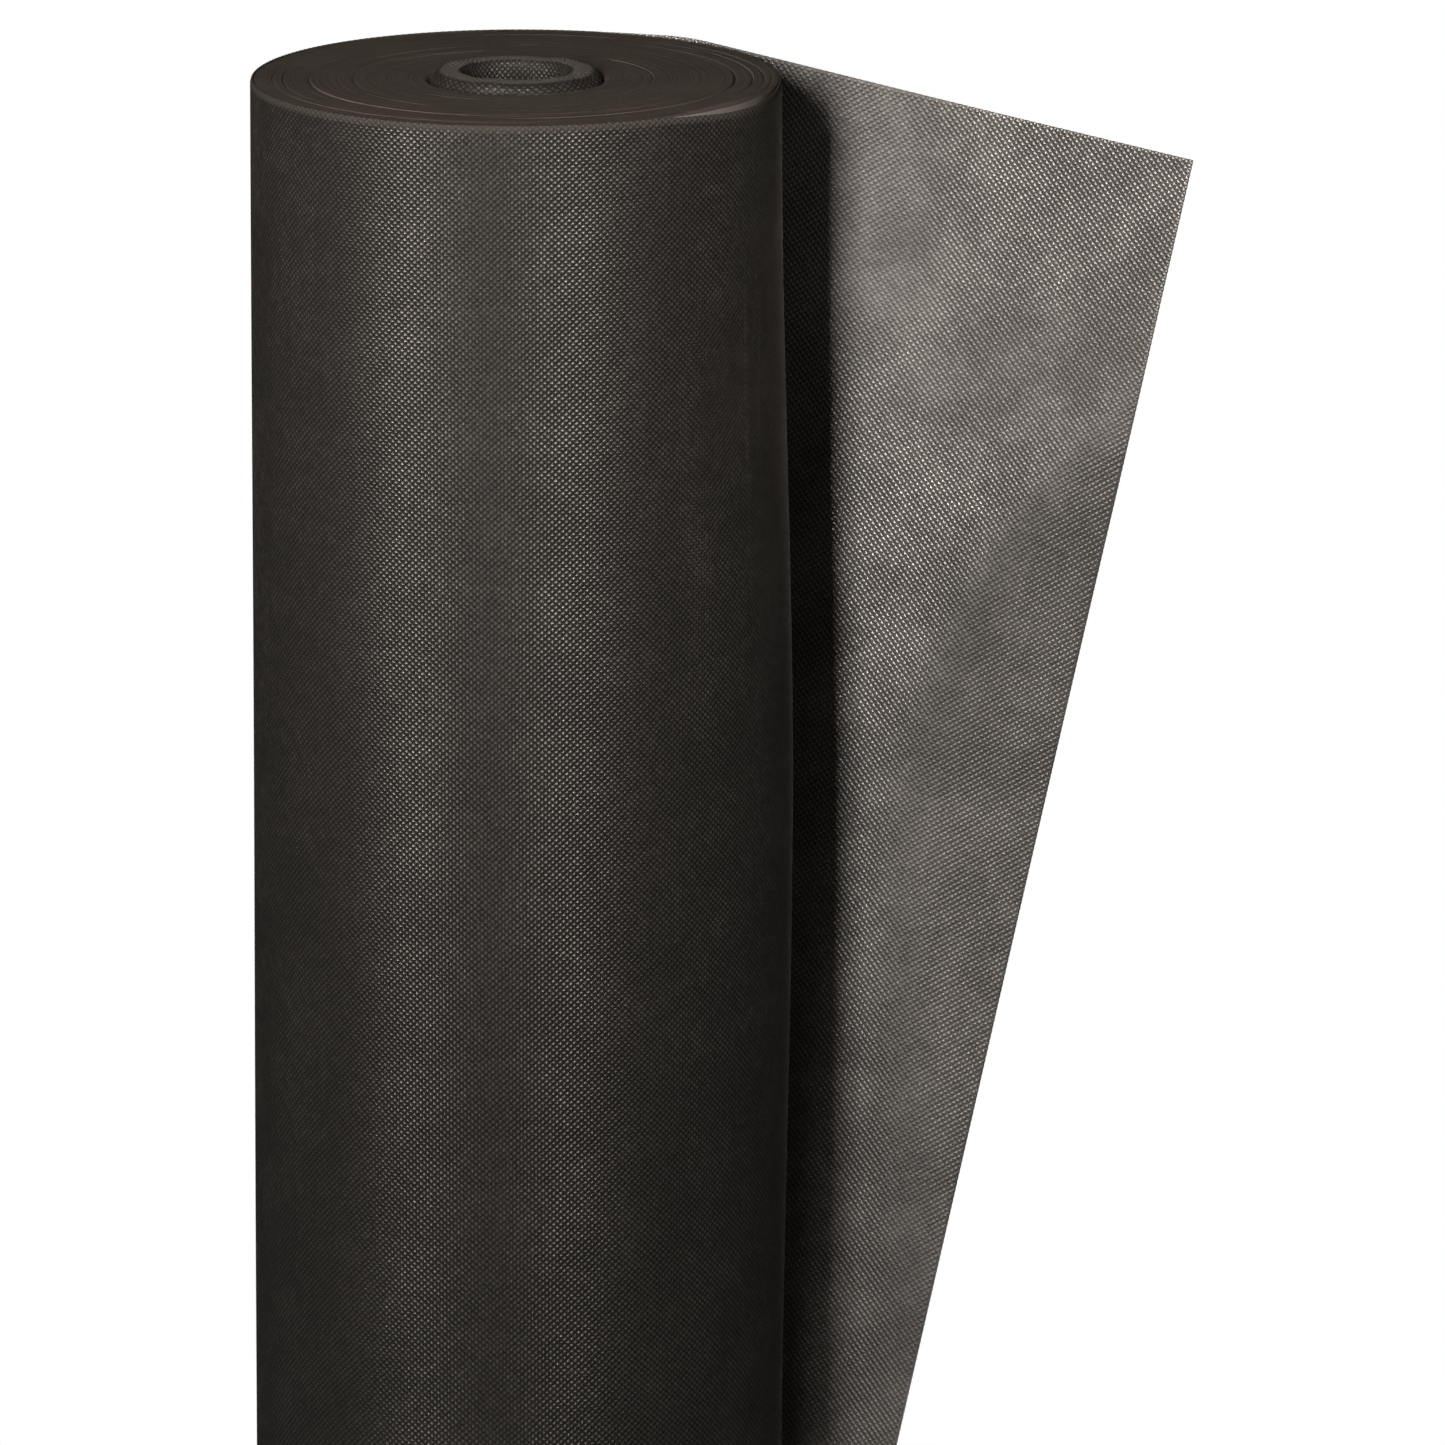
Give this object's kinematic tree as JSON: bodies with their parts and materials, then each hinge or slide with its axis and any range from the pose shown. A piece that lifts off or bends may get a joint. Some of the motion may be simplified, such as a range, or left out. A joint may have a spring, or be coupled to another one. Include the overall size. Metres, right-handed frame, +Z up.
{
  "type": "roll of weed control fabric",
  "caption": "Standing roll of embossed non-woven ground cover fabric on a cardboard tube, with its loose end pulled out at one side.",
  "frame": {"origin": "centre of the footprint of the roll and its loose end together, at the height of the roll's lower end", "axes": "+Z up along the roll's axis, +X to the side where the loose end hangs out, -Y to the front; the roll's own axis stands at x -0.06189, y -0.00021"},
  "size_m": [0.2832, 0.1594, 1.0025],
  "materials": {
    "web_fabric": "charcoal black point-bonded non-woven, embossed with small diamond pillows",
    "collar_fabric": "the same non-woven, puffed where it is folded into the bore",
    "tube_board": "spiral-wound brown cardboard",
    "tape": "adhesive paper strip"
  },
  "bodies": {
    "roll": {"core_tube": "tube_board", "start_tape": "tape", "tucked_collar_top": "collar_fabric", "tucked_collar_bottom": "collar_fabric", "wound_web": "web_fabric", "outer_turns": "web_fabric", "flap_root": "web_fabric"},
    "flap_1": {"flap_strip_1": "web_fabric"},
    "flap_2": {"flap_strip_2": "web_fabric"},
    "flap_3": {"flap_strip_3": "web_fabric"},
    "flap_4": {"flap_strip_4": "web_fabric"}
  },
  "joints": [
    {"name": "flap_bend_1", "type": "hinge", "parent": "roll", "child": "flap_1", "pos_m": [-0.01315, 0.06786, 0.5], "axis": [0, 0, 1], "range_deg": [-26, 13]},
    {"name": "flap_bend_2", "type": "hinge", "parent": "flap_1", "child": "flap_2", "pos_m": [0.02553, 0.05529, 0.5], "axis": [0, 0, 1], "range_deg": [-26, 13]},
    {"name": "flap_bend_3", "type": "hinge", "parent": "flap_2", "child": "flap_3", "pos_m": [0.06421, 0.04272, 0.5], "axis": [0, 0, 1], "range_deg": [-26, 13]},
    {"name": "flap_bend_4", "type": "hinge", "parent": "flap_3", "child": "flap_4", "pos_m": [0.10289, 0.03015, 0.5], "axis": [0, 0, 1], "range_deg": [-26, 13]}
  ],
  "couplings": [
    {"joint": "flap_bend_2", "follows": "flap_bend_1", "ratio": 1},
    {"joint": "flap_bend_3", "follows": "flap_bend_1", "ratio": 1},
    {"joint": "flap_bend_4", "follows": "flap_bend_1", "ratio": 1}
  ]
}
